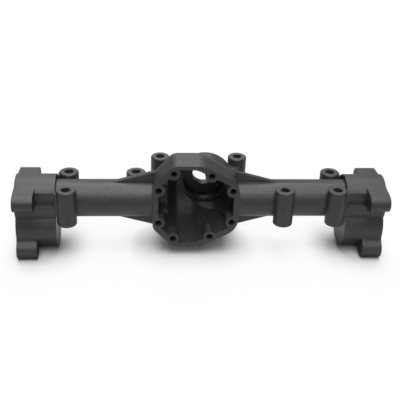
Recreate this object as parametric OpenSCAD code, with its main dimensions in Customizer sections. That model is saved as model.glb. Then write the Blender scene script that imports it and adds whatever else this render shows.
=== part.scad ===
// Portal axle housing of a one-tenth scale crawler, moulded in one piece.
// X runs along the axle, the cover opening faces -Y, and Z is up.
// The axle's own axis is the X axis.

/* [Axle tube] */
// Distance between the outer faces of the two portal cases
face_span = 131.2; // [118:0.2:160]
// Outside diameter of the tube
tube_d = 13.4; // [12:0.1:15]
// Bore for the axle shafts
shaft_bore_d = 7; // [5:0.1:8.5]

/* [Differential case] */
// Outside radius of the case round the crown gear
crown_r = 16.1; // [15:0.1:18]
// Left side of the case, from the middle of the axle
case_left = 17.7; // [16:0.1:20]
// Right side of the case, from the middle of the axle
case_right = 12.9; // [12:0.1:15]
// Outside radius of the left side
left_r = 8.8; // [8:0.1:10]
// Outside radius of the right side
right_r = 9.3; // [8.5:0.1:10.5]
// Left end of the full crown, from the middle of the axle
crown_left = 10.4; // [9:0.1:12]
// Right end of the full crown, from the middle of the axle
crown_right = -0.3; // [-1:0.1:1]
// Distance from the axle's axis to the cover face
cover_reach = 7.3; // [6:0.1:9]
// Wall behind the two flat sides
side_wall = 2; // [1.6:0.1:2.6]
// Wall of the two slopes
slope_wall = 2.3; // [1.6:0.1:2.8]
// Wall of the crown
crown_wall = 1.5; // [1.2:0.1:2.2]
// Outside radius of the corners on the left
corner_r = 4; // [3:0.1:5]
// Outside radius of the corner on the right
right_corner_r = 7; // [5:0.1:8]

/* [Cover screws] */
// Screw hole for the cover
cover_hole_d = 2.2; // [1.8:0.1:2.6]
// Depth of those holes
cover_hole_depth = 5; // [4:0.5:7]
// Outside diameter of the screw columns
cover_boss_d = 4.6; // [4:0.1:5.4]
// Distance of the left holes from the case's left side
left_hole_edge = 2.1; // [1.8:0.1:2.6]
// Distance of the right holes from the case's right side
right_hole_edge = 2.35; // [2:0.05:2.8]
// Distance of the crown's holes from the top of the crown
crown_hole_edge = 3.1; // [2.6:0.1:3.4]
// Distance of the right slope's holes below the top of the crown
slope_hole_drop = 3.9; // [3.6:0.1:4.4]
// Distance of the right slope's holes from the crown's right end
slope_hole_x = 3.1; // [2.6:0.1:3.6]
// Half the distance between the holes on the left side
left_hole_z = 6.5; // [5.5:0.1:7]
// Half the distance between the holes on the right side
right_hole_z = 6.2; // [5.5:0.1:7]

/* [Differential bearings] */
// Outside diameter of the carrier bearings
carrier_d = 10; // [9:0.5:11]
// Width of the carrier bearings
carrier_w = 4; // [3:0.5:5]
// Part of that width that lies within the side wall
carrier_sink = 0.5; // [0.3:0.1:1]
// Half the height of the saddles under those bearings
saddle_z = 7; // [6.5:0.1:7.6]
// Gap left under the cover's clamp
clamp_gap = 0.3; // [0.2:0.1:0.6]

/* [Pinion] */
// Offset of the pinion from the middle of the axle
pinion_x = 1.95; // [1:0.05:3]
// Outside diameter of the pinion bearing
pinion_seat_d = 16; // [14:0.5:16.5]
// Distance from the axle's axis to the bearing's stop
pinion_stop = 18.9; // [17.5:0.1:20.5]
// Diameter of the clearance round the pinion gear
pinion_room_d = 18; // [17:0.1:18.6]
// Distance from the axle's axis to the back of that clearance
pinion_room_y = 13.9; // [13:0.1:15]
// Hole through the stop
pinion_hole_d = 8.4; // [7:0.1:10]
// Thickness of the stop
pinion_lip = 3.5; // [2.5:0.1:4.5]
// Outside diameter of the snout
snout_d = 21; // [20:0.2:23]
// Distance from the axle's axis to the snout's shoulder
snout_reach = 16; // [14.5:0.1:17]
// Diameter of the snout's nose
nose_d = 14; // [12:0.5:16]

/* [Link bosses] */
// Outside diameter of a boss
boss_d = 7; // [6:0.1:8]
// Screw hole through a boss
boss_hole_d = 3.2; // [2.6:0.1:3.6]
// Top of the bosses above the axle's axis
boss_up = 6.9; // [6:0.1:9]
// Bottom of the bosses below the axle's axis
boss_down = 6.6; // [6:0.1:9]
// Rounding of a boss's ends
boss_edge = 0.3; // [0.2:0.1:0.8]
// Distance of the tube's bosses in front of and behind the axis
boss_y = 7.1; // [6.5:0.1:8]
// Distance of the outer bosses from the portal cases
outer_boss_x = 3.8; // [3.7:0.1:12]
// Distance of the single front boss from the middle of the axle
front_boss_x = 28.9; // [24:0.1:36]
// Distance of the single rear boss from the middle of the axle
rear_boss_x = 23.6; // [20:0.1:32]
// Distance of the snout's bosses from the middle of the axle
snout_boss_x = 14.6; // [13:0.1:17]
// Distance of the snout's bosses behind the axis
snout_boss_y = 20.1; // [19:0.1:23]
// Width of the arms that carry the snout's bosses
arm_w = 5.2; // [4:0.1:6]
// Half the height of those arms
arm_z = 4.3; // [2.5:0.1:5]

/* [Fins] */
// Thickness of the fins between tube and case
fin_t = 1.8; // [1.2:0.1:3]
// Height of a fin beside the case, above the axle's axis
fin_z = 10.5; // [9.5:0.1:12]
// Length of a fin along the tube
fin_run = 13.5; // [9:0.1:15]

/* [Portal cases] */
// Width of a portal case along the axle
case_w = 14.1; // [12:0.1:17]
// Width of its flange and screw lugs
flange_w = 7.1; // [6.5:0.1:8]
// Drop from the axle's axis to the wheel's axis
gear_drop = 9.6; // [9:0.1:10.5]
// Outside radius round the upper gear
upper_r = 8.6; // [8.2:0.1:9.2]
// Wall round the upper gear's chamber
chamber_wall = 1.5; // [1.2:0.1:2]
// Outside radius round the lower gear
lower_r = 9.2; // [8.8:0.1:9.7]
// Radius of the lower gear's chamber
lower_room_r = 7.4; // [6.8:0.1:7.6]
// Depth of the gear chambers
chamber_depth = 6; // [5:0.1:6.5]
// Outside diameter of the portal bearings
portal_bearing_d = 10; // [9:0.5:11]
// Width of the portal bearings
portal_bearing_w = 4; // [3:0.5:5]
// Half the width of the neck between the tube and the flange
waist_y = 6.8; // [6.2:0.1:7.4]
// Floor of the notches beside that neck, above the axle's axis
ledge_z = 0.9; // [0.5:0.05:2]
// Start of the flats under the case, below the axle's axis
chamfer_z = 12.7; // [12:0.1:13.5]
// Bottom of the case, below the axle's axis
body_down = 18.5; // [18:0.1:18.7]
// Half the width between the lower ends of those flats
bottom_y = 3.6; // [3:0.1:4]

/* [Portal screw lugs] */
// Radius of an upper lug
lug_r = 3; // [2.6:0.1:3.4]
// Distance from the axle's axis to the web on top of an upper lug
web_r = 7.4; // [7:0.1:7.8]
// Distance of the upper lugs in front of and behind the axis
upper_lug_y = 10.6; // [10.2:0.1:11.6]
// Height of the upper lugs above the axle's axis
upper_lug_z = 3.45; // [2.8:0.05:4.2]
// Radius of a lower lug
lower_lug_r = 3.5; // [3:0.1:3.8]
// Rounding of the corner between a lower lug and the case
lug_fillet = 2.5; // [1.5:0.1:3]
// Distance of the lower lugs in front of and behind the axis
lower_lug_y = 8.15; // [7.6:0.05:8.8]
// Depth of the lower lugs below the axle's axis
lower_lug_z = 16.4; // [16:0.1:17]
// Screw hole in a lug
lug_hole_d = 2.2; // [1.8:0.1:2.8]
// Depth of that hole
lug_hole_depth = 6; // [5:0.5:6]

/* [Hidden] */
$fn = 40;
// Largest turn, in degrees, of one straight step in a rounded outline
step_turn = 9;
// Overlap of joined pieces, and reach of a cut past a face
lap = 1;
// Depth to which a rounded corner starts inside the form it leaves
corner_sink = 0.15;

tube_r = tube_d / 2;
face_x = face_span / 2;
inner_x = face_x - case_w;
flange_x = face_x - flange_w;
floor_x = face_x - chamber_depth;
snout_end = pinion_stop + pinion_lip;
fin_slope = (fin_z - tube_r) / fin_run;
sides = [-1, 1];

// Upper half of the diff case's outline, from its left side to its right side
case_half = [[-case_left, left_r], [-crown_left, crown_r], [crown_right, crown_r], [case_right, right_r]];
case_radii = [corner_r, corner_r, 2 * corner_r, right_corner_r];
case_walls = [side_wall, slope_wall, crown_wall, slope_wall, side_wall];

// Pairs of cover screws: their x and half their distance in z
cover_holes = [
    [left_hole_edge - case_left, left_hole_z],
    [-crown_left, crown_r - crown_hole_edge],
    [crown_right + slope_hole_x, crown_r - slope_hole_drop],
    [case_right - right_hole_edge, right_hole_z],
];

// Plane geometry
function unit(v) = v / norm(v);
function left_of(v) = [-v.y, v.x];
function cross2(a, b) = a.x * b.y - a.y * b.x;
function heading(v) = atan2(v.y, v.x);
function meet(p, u, q, v) = p + u * cross2(q - p, v) / cross2(u, v);
function arc(c, r, from, turn) =
    let (steps = ceil(abs(turn) / step_turn))
    [for (k = [0 : steps]) c + r * [cos(from + turn * k / steps), sin(from + turn * k / steps)]];
// An outline joined to its mirror image on the other side of the vertical axis
function with_mirror(half) = concat(half, [for (i = [len(half) - 1 : -1 : 0]) [-half[i].x, half[i].y]]);

// An open chain of corners, with its first and last side running straight down to the axis
function chain(p) = concat([[p[0].x, 0]], p, [[p[len(p) - 1].x, 0]]);

// That chain moved inward by one wall for each of its sides
function moved_side(c, walls, i) =
    let (u = unit(c[i + 1] - c[i])) [c[i] - left_of(u) * walls[i], u];
function inset(p, walls) =
    let (c = chain(p))
    [for (i = [0 : len(p) - 1])
        let (a = moved_side(c, walls, i), b = moved_side(c, walls, i + 1)) meet(a[0], a[1], b[0], b[1])];
function inset_radii(radii, walls) =
    [for (i = [0 : len(radii) - 1]) max(radii[i] - max(walls[i], walls[i + 1]), 0.5)];

// The corners of a chain replaced by arcs of the given radii
function bend(c, r, i) =
    let (
        u = unit(c[i - 1] - c[i]),
        v = unit(c[i + 1] - c[i]),
        half = acos(u * v) / 2,
        centre = c[i] + unit(u + v) * r / sin(half),
        a = c[i] + u * r / tan(half) - centre,
        b = c[i] + v * r / tan(half) - centre
    )
    arc(centre, r, heading(a), (heading(b) - heading(a) + 540) % 360 - 180);
function rounded_half(p, radii) =
    let (c = chain(p))
    concat([c[0]], [for (i = [1 : len(p)]) each bend(c, radii[i - 1], i)], [c[len(c) - 1]]);

// The outline of a belt round circles given as [x, y, r], counter-clockwise
function tangent_angle(a, b) =
    let (d = [b.x - a.x, b.y - a.y]) heading(d) - acos((a[2] - b[2]) / norm(d));
function belt(circles) =
    let (n = len(circles))
    [for (i = [0 : n - 1])
        let (
            c = circles[i],
            from = tangent_angle(circles[(i + n - 1) % n], c),
            to = tangent_angle(c, circles[(i + 1) % n])
        )
        each arc([c.x, c.y], c[2], from, (to - from + 720) % 360)];

// Stands a YZ outline along X
module along_x(length) {
    rotate([90, 0, 90]) linear_extrude(length) children();
}

module rod_x(r, length) {
    rotate([0, 90, 0]) cylinder(r = r, h = length);
}

module rod_y(r, length) {
    rotate([-90, 0, 0]) cylinder(r = r, h = length);
}

// The diff case's form: straight towards the cover and turned about the axle at the back
module case_form(p, radii, reach) {
    half = rounded_half(p, radii);
    whole = concat(half, [for (i = [len(half) - 2 : -1 : 1]) [half[i].x, -half[i].y]]);
    rotate([90, 0, 0]) linear_extrude(reach) polygon(whole);
    rotate([0, 90, 0]) rotate_extrude(angle = 180) polygon([for (q = half) [q.y, q.x]]);
}

module carrier_saddles() {
    depth = side_wall - carrier_sink + carrier_w;
    for (x = [-case_left, case_right - depth])
        translate([x, clamp_gap, -saddle_z]) cube([depth, crown_r, 2 * saddle_z]);
}

module carrier_seats() {
    for (x = [side_wall - carrier_sink - case_left, case_right - side_wall + carrier_sink - carrier_w])
        translate([x, 0, 0]) rod_x(carrier_d / 2, carrier_w);
}

module at_cover_holes() {
    for (h = cover_holes, s = sides) translate([h.x, -cover_reach, s * h.y]) children();
}

module diff_cavity() {
    difference() {
        case_form(inset(case_half, case_walls), inset_radii(case_radii, case_walls), cover_reach + lap);
        carrier_saddles();
        at_cover_holes() translate([0, -2 * lap, 0]) rod_y(cover_boss_d / 2, cover_hole_depth + 3 * lap);
    }
    carrier_seats();
}

module pinion_snout() {
    translate([pinion_x, 0, 0]) rotate([-90, 0, 0]) rotate_extrude() polygon([
        [0, lap],
        [snout_d / 2, lap],
        [snout_d / 2, snout_reach],
        [nose_d / 2, snout_end],
        [0, snout_end],
    ]);
}

module pinion_bore() {
    translate([pinion_x, 0, 0]) rod_y(pinion_room_d / 2, pinion_room_y);
    translate([pinion_x, pinion_room_y - lap, 0]) rod_y(pinion_seat_d / 2, pinion_stop - pinion_room_y + lap);
    translate([pinion_x, pinion_stop - lap, 0]) rod_y(pinion_hole_d / 2, pinion_lip + 2 * lap);
}

// A fin rises along the tube to the side of the diff case
module fin(side_x, out) {
    foot = [side_x + out * (fin_run + lap), tube_r - lap * fin_slope];
    head = [side_x - out * lap, fin_z + lap * fin_slope];
    translate([0, fin_t / 2, 0]) rotate([90, 0, 0]) linear_extrude(fin_t)
        polygon([foot, head, [head.x, -head.y], [foot.x, -foot.y]]);
}

module boss() {
    r = boss_d / 2;
    rotate_extrude() polygon([
        [0, -boss_down],
        [r - boss_edge, -boss_down],
        [r, boss_edge - boss_down],
        [r, boss_up - boss_edge],
        [r - boss_edge, boss_up],
        [0, boss_up],
    ]);
}

boss_places = concat(
    [for (x = sides, y = sides) [x * (inner_x - outer_boss_x), y * boss_y]],
    [[front_boss_x, -boss_y], [-rear_boss_x, boss_y]],
    [for (x = sides) [x * snout_boss_x, snout_boss_y]]
);

// An arm from the snout to one of the bosses beside it
module snout_arm(side) {
    root = [pinion_x + side * snout_d / 3, snout_reach - arm_w / 2];
    tip = [side * snout_boss_x, snout_boss_y];
    across = left_of(unit(tip - root)) * arm_w / 2;
    translate([0, 0, -arm_z]) linear_extrude(2 * arm_z)
        polygon([root + across, root - across, tip - across, tip + across]);
}

upper_lugs = [for (s = sides) [s * upper_lug_y, upper_lug_z]];
lower_lugs = [for (s = sides) [s * lower_lug_y, -lower_lug_z]];

// The outline of a lower lug, from its rounded corner with the case to its inner side
function lower_lug_outline() =
    let (
        wheel = [0, -gear_drop],
        lug = [lower_lug_y, -lower_lug_z],
        apart = norm(lug - wheel),
        u = unit(lug - wheel),
        from_wheel = lower_r - corner_sink + lug_fillet,
        from_lug = lower_lug_r + lug_fillet,
        along = (pow(from_wheel, 2) - pow(from_lug, 2) + pow(apart, 2)) / (2 * apart),
        centre = wheel + u * along + left_of(u) * sqrt(pow(from_wheel, 2) - pow(along, 2)),
        start = heading(wheel - centre),
        turn = (heading(lug - centre) - start + 360) % 360,
        lug_start = heading(centre - lug)
    )
    concat(arc(centre, lug_fillet, start, turn), arc(lug, lower_lug_r, lug_start, -lug_start - 180));

// The screw lugs of a portal case
module portal_lugs() {
    rear = [upper_lug_y, upper_lug_z, lug_r];
    front = [-upper_lug_y, upper_lug_z, lug_r];
    along_x(flange_w) polygon(belt([rear, [0, 0, web_r], front]));
    along_x(flange_w) polygon(with_mirror(lower_lug_outline()));
}

// The round form about the axle, with a notch on either side of its neck
module upper_body() {
    difference() {
        rod_x(upper_r, case_w);
        for (y = [-waist_y - upper_r, waist_y])
            translate([-lap, y, ledge_z]) cube([case_w - flange_w + lap, upper_r, upper_r]);
    }
}

// The round form about the wheel's axis, with flats underneath
module lower_body() {
    side = [sqrt(pow(lower_r, 2) - pow(chamfer_z - gear_drop, 2)), -chamfer_z];
    foot = [bottom_y, -body_down];
    out = 2 * side - foot;
    intersection() {
        translate([0, 0, -gear_drop]) rod_x(lower_r, case_w);
        translate([-lap, 0, 0]) along_x(case_w + 2 * lap) polygon(with_mirror([foot, out, [out.x, lap]]));
    }
}

module portal_case() {
    translate([inner_x, 0, 0]) upper_body();
    translate([inner_x, 0, 0]) lower_body();
    translate([flange_x, 0, 0]) portal_lugs();
}

// Gear chambers, bearing seats and screw holes, open at the outer face
module portal_hollow() {
    seat_x = floor_x - portal_bearing_w;
    translate([floor_x, 0, 0]) rod_x(upper_r - chamber_wall, chamber_depth + lap);
    translate([floor_x, 0, -gear_drop]) rod_x(lower_room_r, chamber_depth + lap);
    for (z = [0, -gear_drop])
        translate([seat_x, 0, z]) rod_x(portal_bearing_d / 2, portal_bearing_w + lap);
    for (p = concat(upper_lugs, lower_lugs))
        translate([face_x - lug_hole_depth, p.x, p.y]) rod_x(lug_hole_d / 2, lug_hole_depth + lap);
}

module both_ends() {
    children();
    mirror([1, 0, 0]) children();
}

module axle_housing() {
    color("#3d3d3f") difference() {
        union() {
            translate([-inner_x - lap, 0, 0]) rod_x(tube_r, 2 * (inner_x + lap));
            case_form(case_half, case_radii, cover_reach);
            pinion_snout();
            fin(-case_left, -1);
            fin(case_right, 1);
            for (p = boss_places) translate(p) boss();
            for (s = sides) snout_arm(s);
            both_ends() portal_case();
        }
        diff_cavity();
        pinion_bore();
        translate([-floor_x, 0, 0]) rod_x(shaft_bore_d / 2, 2 * floor_x);
        at_cover_holes() translate([0, -lap, 0]) rod_y(cover_hole_d / 2, cover_hole_depth + lap);
        for (p = boss_places) translate([p.x, p.y, -boss_down - lap])
            cylinder(d = boss_hole_d, h = boss_up + boss_down + 2 * lap);
        both_ends() portal_hollow();
    }
}

axle_housing();
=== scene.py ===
# %% [markdown]
# An axle housing in black nylon.
# The object is the rear axle housing of a small crawler: one moulding with a tube, an open
# differential case, link bosses and a dropped gear case at each end. Its solid comes from the
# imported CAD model. This lesson gives that solid what a mould and a photographer give the real
# one: softened edges, a fine grain and studio light.

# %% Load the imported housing
import math

import bmesh
import bpy
from mathutils import Matrix, Vector


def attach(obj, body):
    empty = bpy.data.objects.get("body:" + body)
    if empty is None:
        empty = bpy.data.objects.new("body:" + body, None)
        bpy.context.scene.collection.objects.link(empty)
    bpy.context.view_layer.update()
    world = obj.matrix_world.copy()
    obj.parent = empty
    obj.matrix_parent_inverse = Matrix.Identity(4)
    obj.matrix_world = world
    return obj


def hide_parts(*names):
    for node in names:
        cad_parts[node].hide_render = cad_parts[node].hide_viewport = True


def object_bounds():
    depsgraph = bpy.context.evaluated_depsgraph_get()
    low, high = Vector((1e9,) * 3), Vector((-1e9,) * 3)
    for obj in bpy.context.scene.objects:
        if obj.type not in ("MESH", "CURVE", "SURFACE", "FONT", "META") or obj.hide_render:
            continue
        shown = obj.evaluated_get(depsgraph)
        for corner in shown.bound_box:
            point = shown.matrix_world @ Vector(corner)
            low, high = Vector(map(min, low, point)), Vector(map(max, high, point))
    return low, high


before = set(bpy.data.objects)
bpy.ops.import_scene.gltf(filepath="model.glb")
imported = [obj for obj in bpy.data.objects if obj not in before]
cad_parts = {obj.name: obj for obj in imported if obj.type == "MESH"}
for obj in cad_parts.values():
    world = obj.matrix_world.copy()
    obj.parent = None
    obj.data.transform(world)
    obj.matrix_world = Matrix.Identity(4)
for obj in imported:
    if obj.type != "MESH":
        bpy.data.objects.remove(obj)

MM = 0.001
cad_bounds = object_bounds()
housing_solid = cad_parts["axle_housing"]
print("housing from CAD:", len(housing_solid.data.polygons), "triangles")

# %% [markdown]
# Three small helpers come first. Colours are written as sRGB hex values, as a paint chart gives
# them, and a renderer wants linear light, so one function turns the one into the other. The
# second adds a node to any tree, sets its values and links its inputs, which keeps each material
# and each geometry tree down to a line or two for a node. An input is named by its label, or by
# i and its number where several inputs share a label. The third works out an object's modifiers
# and gives the result as a plain mesh.

# %% Helpers for colours, nodes and meshes
def linear(hex_colour):
    channels = [int(hex_colour[i:i + 2], 16) / 255 for i in (1, 3, 5)]
    return [c / 12.92 if c <= 0.04045 else ((c + 0.055) / 1.055) ** 2.4 for c in channels] + [1.0]


def add_node(tree, kind, settings=None, **inputs):
    node = tree.nodes.new(kind)
    for name, value in (settings or {}).items():
        setattr(node, name, value)
    for name, value in inputs.items():
        numbered = name[0] == "i" and name[1:].isdigit()
        socket = node.inputs[int(name[1:]) if numbered else name.replace("_", " ")]
        if isinstance(value, bpy.types.NodeSocket):
            tree.links.new(value, socket)
        else:
            socket.default_value = value
    return node


def plain_mesh(owner):
    shown = owner.evaluated_get(bpy.context.evaluated_depsgraph_get())
    return bpy.data.meshes.new_from_object(shown)


print("a mid grey, #808080, in linear light:", round(linear("#808080")[0], 3))

# %% [markdown]
# The housing is nylon filled with short glass fibre, shot into a mould whose walls were spark
# eroded. To the eye that is a black that is really a dark neutral grey, a dull sheen that grows
# at a low angle, a fine even grain, and faint paler clouds where fibre lies near the skin. A
# picture of such a surface would have to be wrapped round every boss. Noise that is read at the
# point in space needs no wrapping, and has no seams.

# %% Glass-filled nylon
GRAIN = 0.45 * MM     # the real grit is near 0.1 mm, drawn coarser so that it shows
CLOUDS = 4 * MM
GRAIN_DETAIL, GRAIN_FINE_SHARE = 3.0, 0.6
CLOUD_DETAIL, CLOUD_FINE_SHARE = 4.0, 0.55
NOISE_LOW, NOISE_HIGH = 0.3, 0.7     # nearly all of the noise lies between these
GRAIN_DEPTH = 0.045 * MM
GRAIN_RELIEF = 0.6
SPECK_DARK, SPECK_LIGHT = 0.5, 1.5
NYLON_DARK, NYLON_PALE = "#343435", "#464647"
NYLON_SMOOTH, NYLON_ROUGH = 0.40, 0.48
NYLON_IOR = 1.53


def glass_filled_nylon():
    material = bpy.data.materials.new("glass_filled_nylon_black")
    material.use_nodes = True
    tree = material.node_tree
    skin = tree.nodes["Principled BSDF"]
    skin.inputs["IOR"].default_value = NYLON_IOR
    place = add_node(tree, "ShaderNodeTexCoord").outputs["Object"]
    grain = add_node(tree, "ShaderNodeTexNoise", Vector=place, Scale=1 / GRAIN,
                     Detail=GRAIN_DETAIL, Roughness=GRAIN_FINE_SHARE).outputs["Fac"]
    clouds = add_node(tree, "ShaderNodeTexNoise", Vector=place, Scale=1 / CLOUDS,
                      Detail=CLOUD_DETAIL, Roughness=CLOUD_FINE_SHARE).outputs["Fac"]
    tone = add_node(tree, "ShaderNodeMix", {"data_type": "RGBA"}, i0=clouds,
                    i6=linear(NYLON_DARK), i7=linear(NYLON_PALE))
    speck = add_node(tree, "ShaderNodeMapRange", Value=grain, From_Min=NOISE_LOW,
                     From_Max=NOISE_HIGH, To_Min=SPECK_DARK, To_Max=SPECK_LIGHT)
    shade = add_node(tree, "ShaderNodeVectorMath", {"operation": "SCALE"},
                     i0=tone.outputs[2], Scale=speck.outputs[0])
    gloss = add_node(tree, "ShaderNodeMapRange", Value=clouds, From_Min=NOISE_LOW,
                     From_Max=NOISE_HIGH, To_Min=NYLON_SMOOTH, To_Max=NYLON_ROUGH)
    relief = add_node(tree, "ShaderNodeBump", Height=grain, Strength=GRAIN_RELIEF,
                      Distance=GRAIN_DEPTH)
    tree.links.new(shade.outputs[0], skin.inputs["Base Color"])
    tree.links.new(gloss.outputs[0], skin.inputs["Roughness"])
    tree.links.new(relief.outputs["Normal"], skin.inputs["Normal"])
    return material


nylon = glass_filled_nylon()
print("material:", nylon.name, "with", len(nylon.node_tree.nodes), "nodes")

# %% [markdown]
# The shell starts as a copy of the CAD mesh. That mesh is loose triangles, so the copy is merged
# first, and the triangles of each flat face are joined again. A bevel needs this: it follows
# edges, and it can't see an edge whose two faces don't share their corners.

# %% Copy and merge the solid
WELD = 0.001 * MM
FLAT_ANGLE = math.radians(0.6)

shell = bpy.data.objects.new("housing_shell", bpy.data.meshes.new("housing_shell"))
bpy.context.scene.collection.objects.link(shell)
work = bmesh.new()
work.from_mesh(housing_solid.data)
bmesh.ops.remove_doubles(work, verts=work.verts, dist=WELD)
bmesh.ops.dissolve_limit(work, angle_limit=FLAT_ANGLE, verts=work.verts, edges=work.edges)
print("merged shell:", len(work.verts), "corners,", len(work.faces), "faces,",
      sum(not e.is_manifold for e in work.edges), "open edges")
work.to_mesh(shell.data)
work.free()

# %% [markdown]
# Beside each outer boss the CAD leaves a slit of a third of a millimetre to the portal case. A
# mould can't have a wall that thin, so on the real housing the two run together in a small web,
# and no light shows between them. Each web is a short wedge that reaches from the case into the
# wall of the boss, and ends there, clear of the screw hole. A Boolean joins all four to the
# shell, so that their edges are rounded with the rest.

# %% Close the slits beside the outer bosses
OUTER_BOSS_X, OUTER_BOSS_Y, CASE_INNER_X = 47.7, 7.1, 51.5     # millimetres, as are all below
HOLE_CLEAR = 2.3      # from the boss's axis, outside its hole and inside its wall
WEB_SINK = 0.05
WEB_HALF = 1.6
WEB_FOOT, WEB_TOP_AT_BOSS, WEB_TOP_AT_CASE = -3, 5.5, 5.9
WEB_START, WEB_END = OUTER_BOSS_X + HOLE_CLEAR, CASE_INNER_X + WEB_SINK
WEB_SIDE = ((WEB_END, WEB_FOOT), (WEB_START, WEB_FOOT),
            (WEB_START, WEB_TOP_AT_BOSS), (WEB_END, WEB_TOP_AT_CASE))


def boss_webs():
    form = bmesh.new()
    for side, depth in ((-1, -1), (-1, 1), (1, -1), (1, 1)):
        rings = [[form.verts.new(Vector((side * x, depth * OUTER_BOSS_Y + half, z)) * MM)
                  for x, z in WEB_SIDE] for half in (-WEB_HALF, WEB_HALF)]
        form.faces.new(rings[0])
        form.faces.new(reversed(rings[1]))
        for i in range(len(WEB_SIDE)):
            form.faces.new((rings[0][i], rings[1][i], rings[1][i - 1], rings[0][i - 1]))
    bmesh.ops.recalc_face_normals(form, faces=form.faces)
    mesh = bpy.data.meshes.new("boss_webs")
    form.to_mesh(mesh)
    form.free()
    return mesh


webs = bpy.data.objects.new("boss_webs", boss_webs())
bpy.context.scene.collection.objects.link(webs)
join = shell.modifiers.new("boss webs", "BOOLEAN")
join.operation = "UNION"
join.solver = "EXACT"
join.object = webs
shell.data = plain_mesh(shell)
shell.modifiers.clear()
bpy.data.objects.remove(webs)
print("shell with webs:", len(shell.data.vertices), "corners,", len(shell.data.polygons), "faces")

# %% [markdown]
# A moulded edge is never sharp: the cutter that made the mould leaves a small radius on outer
# edges and in the corners, and the plastic shrinks a little as it cools. A small geometry tree
# marks the edges by rule. It reads the angle at each edge, and writes a bevel weight for outer
# edges and another for inner corners. Both stay small, because a wide round runs over the narrow
# facets beside it and folds them. Marking by hand would miss some of the thousands of short
# edges where round forms meet. The tree also gives every face its nylon.

# %% Mark the edges that the mould rounds
EDGE_ANGLE = math.radians(32)
OUTER_ROUND = 0.15 * MM
INNER_ROUND = 0.12 * MM


def edge_marking_tree():
    tree = bpy.data.node_groups.new("mould_edges", "GeometryNodeTree")
    tree.interface.new_socket("Geometry", in_out="INPUT", socket_type="NodeSocketGeometry")
    for name in ("Edge angle", "Outer weight", "Inner weight"):
        tree.interface.new_socket(name, in_out="INPUT", socket_type="NodeSocketFloat")
    tree.interface.new_socket("Geometry", in_out="OUTPUT", socket_type="NodeSocketGeometry")
    given = add_node(tree, "NodeGroupInput").outputs
    angle = add_node(tree, "GeometryNodeInputMeshEdgeAngle").outputs["Signed Angle"]
    outer = add_node(tree, "ShaderNodeMath", {"operation": "GREATER_THAN"},
                     i0=angle, i1=given["Edge angle"])
    turned = add_node(tree, "ShaderNodeMath", {"operation": "MULTIPLY"}, i0=angle, i1=-1.0)
    inner = add_node(tree, "ShaderNodeMath", {"operation": "GREATER_THAN"},
                     i0=turned.outputs[0], i1=given["Edge angle"])
    outer_part = add_node(tree, "ShaderNodeMath", {"operation": "MULTIPLY"},
                          i0=outer.outputs[0], i1=given["Outer weight"])
    weight = add_node(tree, "ShaderNodeMath", {"operation": "MULTIPLY_ADD"},
                      i0=inner.outputs[0], i1=given["Inner weight"], i2=outer_part.outputs[0])
    stored = add_node(tree, "GeometryNodeStoreNamedAttribute",
                      {"data_type": "FLOAT", "domain": "EDGE"}, Geometry=given["Geometry"],
                      Name="bevel_weight_edge", Value=weight.outputs[0])
    real = add_node(tree, "GeometryNodeRealizeInstances", Geometry=stored.outputs["Geometry"])
    dressed = add_node(tree, "GeometryNodeSetMaterial", Geometry=real.outputs["Geometry"],
                       Material=nylon)
    add_node(tree, "NodeGroupOutput", Geometry=dressed.outputs["Geometry"])
    return tree


marking = shell.modifiers.new("mould edges", "NODES")
marking.node_group = edge_marking_tree()
widest = max(OUTER_ROUND, INNER_ROUND)
marks = {"Edge angle": EDGE_ANGLE, "Outer weight": OUTER_ROUND / widest,
         "Inner weight": INNER_ROUND / widest}
for item in marking.node_group.interface.items_tree:
    if item.in_out == "INPUT" and item.name in marks:
        marking[item.identifier] = marks[item.name]
print("edges sharper than", round(math.degrees(EDGE_ANGLE)), "degrees are rounded")

# %% [markdown]
# The Bevel modifier turns the marked edges into rounds of two steps each, which is enough at
# this size to catch a line of light, and the result becomes a plain mesh. The rounds could also
# be cut in the CAD model, but there each short edge would need a fillet of its own.

# %% Round the marked edges
ROUND_STEPS = 2

rounds = shell.modifiers.new("edge rounds", "BEVEL")
rounds.limit_method = "WEIGHT"
rounds.width = widest
rounds.segments = ROUND_STEPS
rounds.use_clamp_overlap = False
rounds.loop_slide = False
rounded = plain_mesh(shell)
shell.modifiers.clear()
shell.data = rounded
print("rounded shell:", len(rounded.vertices), "corners,", len(rounded.polygons), "faces in",
      [m.name for m in rounded.materials])

# %% [markdown]
# The shading is set corner by corner: each corner takes the mean direction of the faces round it
# that turn by less than a limit, and a large face counts for more than a small one. Plain smooth
# shading would let the narrow rounds bend the light far into the flat faces, and flat shading
# would show the facets of every round form. The shell then rides on the part's one body and stands
# in for the CAD solid.

# %% Shade round forms smooth and flat faces flat
SMOOTH_LIMIT = math.cos(math.radians(38))


def corner_directions(mesh):
    faces_at = [[] for _ in mesh.vertices]
    for face in mesh.polygons:
        for corner in face.vertices:
            faces_at[corner].append(face)
    directions = []
    for face in mesh.polygons:
        for corner in face.vertices:
            near = [f for f in faces_at[corner] if f.normal.dot(face.normal) > SMOOTH_LIMIT]
            mean = sum((f.normal * f.area for f in near), Vector())
            directions.append(mean.normalized() if mean.length else face.normal)
    return directions


rounded.shade_smooth()
rounded.normals_split_custom_set(corner_directions(rounded))
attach(shell, "root")
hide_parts("axle_housing")
print("own shading:", rounded.has_custom_normals)

# %% [markdown]
# The floor is paper under the axle. It takes the shadow under the case and the lugs, and throws
# a little light back at the underside of the tube. The picture shows clean white round the part,
# a dark shadow only close to where it stands, and a dark band along the front of every round
# form, where the paper's front edge and the dim room beyond it are mirrored. So the paper glows
# white to the camera, and to reflections as far as the sheet reaches, and is mid grey to the soft
# light that bounces off it. The Ambient Occlusion node says how open the floor is at each point,
# and the glow gives way to the plain paper with its shadow where it isn't.

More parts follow.
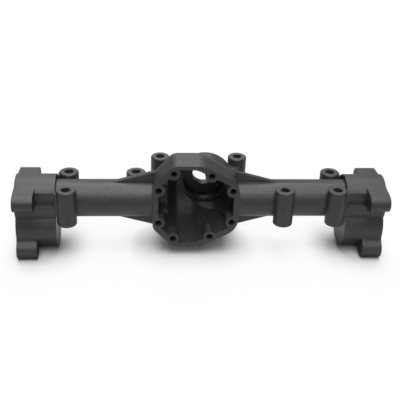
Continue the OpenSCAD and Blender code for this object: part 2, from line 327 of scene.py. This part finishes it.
# %% Paper floor
FLOOR_HALF = 30.0
PAPER_WHITE, PAPER_BOUNCE = "#f6f6f6", "#a0a0a0"
PAPER_ROUGHNESS = 0.9
SHEET_FULL, SHEET_END = 20 * MM, 90 * MM
SHADOW_REACH = 14 * MM
SHADOW_DEEP = 0.57
OPEN_GLOW = 0.9


def paper():
    material = bpy.data.materials.new("paper")
    material.use_nodes = True
    tree = material.node_tree
    sheet = tree.nodes["Principled BSDF"]
    sheet.inputs["Roughness"].default_value = PAPER_ROUGHNESS
    sheet.inputs["Specular IOR Level"].default_value = 0.0
    place = add_node(tree, "ShaderNodeTexCoord").outputs["Object"]
    depth = add_node(tree, "ShaderNodeSeparateXYZ", Vector=place).outputs["Y"]
    away = add_node(tree, "ShaderNodeMath", {"operation": "ABSOLUTE"}, i0=depth)
    near = add_node(tree, "ShaderNodeMapRange", Value=away.outputs[0],
                    From_Min=SHEET_FULL, From_Max=SHEET_END, To_Min=1.0, To_Max=0.0)
    rays = add_node(tree, "ShaderNodeLightPath").outputs
    mirrored = add_node(tree, "ShaderNodeMath", {"operation": "MAXIMUM"},
                        i0=rays["Is Glossy Ray"], i1=rays["Is Transmission Ray"])
    mirrored = add_node(tree, "ShaderNodeMath", {"operation": "MULTIPLY"},
                        i0=mirrored.outputs[0], i1=near.outputs[0])
    seen = add_node(tree, "ShaderNodeMath", {"operation": "MAXIMUM"},
                    i0=rays["Is Camera Ray"], i1=mirrored.outputs[0]).outputs[0]
    colour = add_node(tree, "ShaderNodeMix", {"data_type": "RGBA"}, i0=rays["Is Camera Ray"],
                      i6=linear(PAPER_BOUNCE), i7=linear(PAPER_WHITE))
    tree.links.new(colour.outputs[2], sheet.inputs["Base Color"])
    openness = add_node(tree, "ShaderNodeAmbientOcclusion", Distance=SHADOW_REACH).outputs["AO"]
    clear = add_node(tree, "ShaderNodeMapRange", Value=openness,
                     From_Min=SHADOW_DEEP, From_Max=1.0, To_Min=0.0, To_Max=OPEN_GLOW)
    share = add_node(tree, "ShaderNodeMath", {"operation": "MULTIPLY"},
                     i0=seen, i1=clear.outputs[0])
    glow = add_node(tree, "ShaderNodeEmission", Color=linear("#ffffff"), Strength=1.0)
    mixed = add_node(tree, "ShaderNodeMixShader", i0=share.outputs[0],
                     i1=sheet.outputs["BSDF"], i2=glow.outputs["Emission"])
    tree.links.new(mixed.outputs["Shader"], tree.nodes["Material Output"].inputs["Surface"])
    return material


floor_z = cad_bounds[0][2]
floor = bpy.data.objects.new("floor", bpy.data.meshes.new("floor"))
bpy.context.scene.collection.objects.link(floor)
corners = [(x * FLOOR_HALF, y * FLOOR_HALF, floor_z)
           for x, y in ((-1, -1), (1, -1), (1, 1), (-1, 1))]
floor.data.from_pydata(corners, [], [(0, 1, 2, 3)])
floor.data.materials.append(paper())
print("floor at", round(floor_z / MM, 2), "mm")

# %% [markdown]
# The light is that of a small product table: a long soft box that arches over the axle from front
# to back, so that tops are light while slopes to the left and right stay dark, in a room that
# gives a little light from all sides. The arch is a row of suns with wide discs, because suns
# light the paper evenly out to its far edge. Together they give the floor about the light at
# which a colour looks as it is written.

# %% Soft studio light
ARCH = {38: 0.12, 64: 0.39, 90: 0.24, 116: 0.35, 142: 0.09, 168: 0.05}     # share of light by angle
ARCH_DISC = math.radians(34)
SURROUND_LIGHT = 0.08

for angle, share in ARCH.items():
    lamp = bpy.data.lights.new(f"arch_{angle}", "SUN")
    lamp.energy = share * math.pi
    lamp.angle = ARCH_DISC
    holder = bpy.data.objects.new(lamp.name, lamp)
    holder.location = (0, -math.cos(math.radians(angle)), math.sin(math.radians(angle)))
    holder.rotation_euler = holder.location.to_track_quat("Z", "Y").to_euler()
    bpy.context.scene.collection.objects.link(holder)

world = bpy.data.worlds.new("studio")
world.use_nodes = True
surround = world.node_tree.nodes["Background"]
surround.inputs["Color"].default_value = linear("#ffffff")
surround.inputs["Strength"].default_value = SURROUND_LIGHT
bpy.context.scene.world = world
bpy.context.scene.view_settings.view_transform = "Standard"

# %% [markdown]
# The camera stands where the photographer stood: in front, a little to the left and looking
# down, with a slight roll. Its numbers come from fitting the bosses and the ends of the axle to
# the picture.

# %% Camera at the picture's angle
AZIMUTH, ELEVATION, ROLL = (math.radians(a) for a in (-4.715, 28.762, 2.264))
DISTANCE = 280.461 * MM
SENSOR, LENS = 36, 69.88
SHIFT_X, SHIFT_Y = -0.00384, -0.00618
NEAREST = 10 * MM

right = Vector((math.cos(AZIMUTH), math.sin(AZIMUTH), 0))
ahead = Vector((-math.sin(AZIMUTH), math.cos(AZIMUTH), 0))
back = Vector((0, 0, math.sin(ELEVATION))) - ahead * math.cos(ELEVATION)
up = back.cross(right)
across = right * math.cos(ROLL) + up * math.sin(ROLL)
upward = up * math.cos(ROLL) - right * math.sin(ROLL)

camera = bpy.data.objects.new("camera", bpy.data.cameras.new("camera"))
turned = Matrix((across, upward, back)).transposed().to_4x4()
camera.matrix_world = Matrix.Translation(back * DISTANCE) @ turned
camera.data.sensor_width = SENSOR
camera.data.lens = LENS
camera.data.shift_x = SHIFT_X
camera.data.shift_y = SHIFT_Y
camera.data.clip_start = NEAREST
bpy.context.scene.collection.objects.link(camera)
bpy.context.scene.camera = camera
print("camera at", [round(c / MM, 1) for c in camera.matrix_world.translation], "mm")
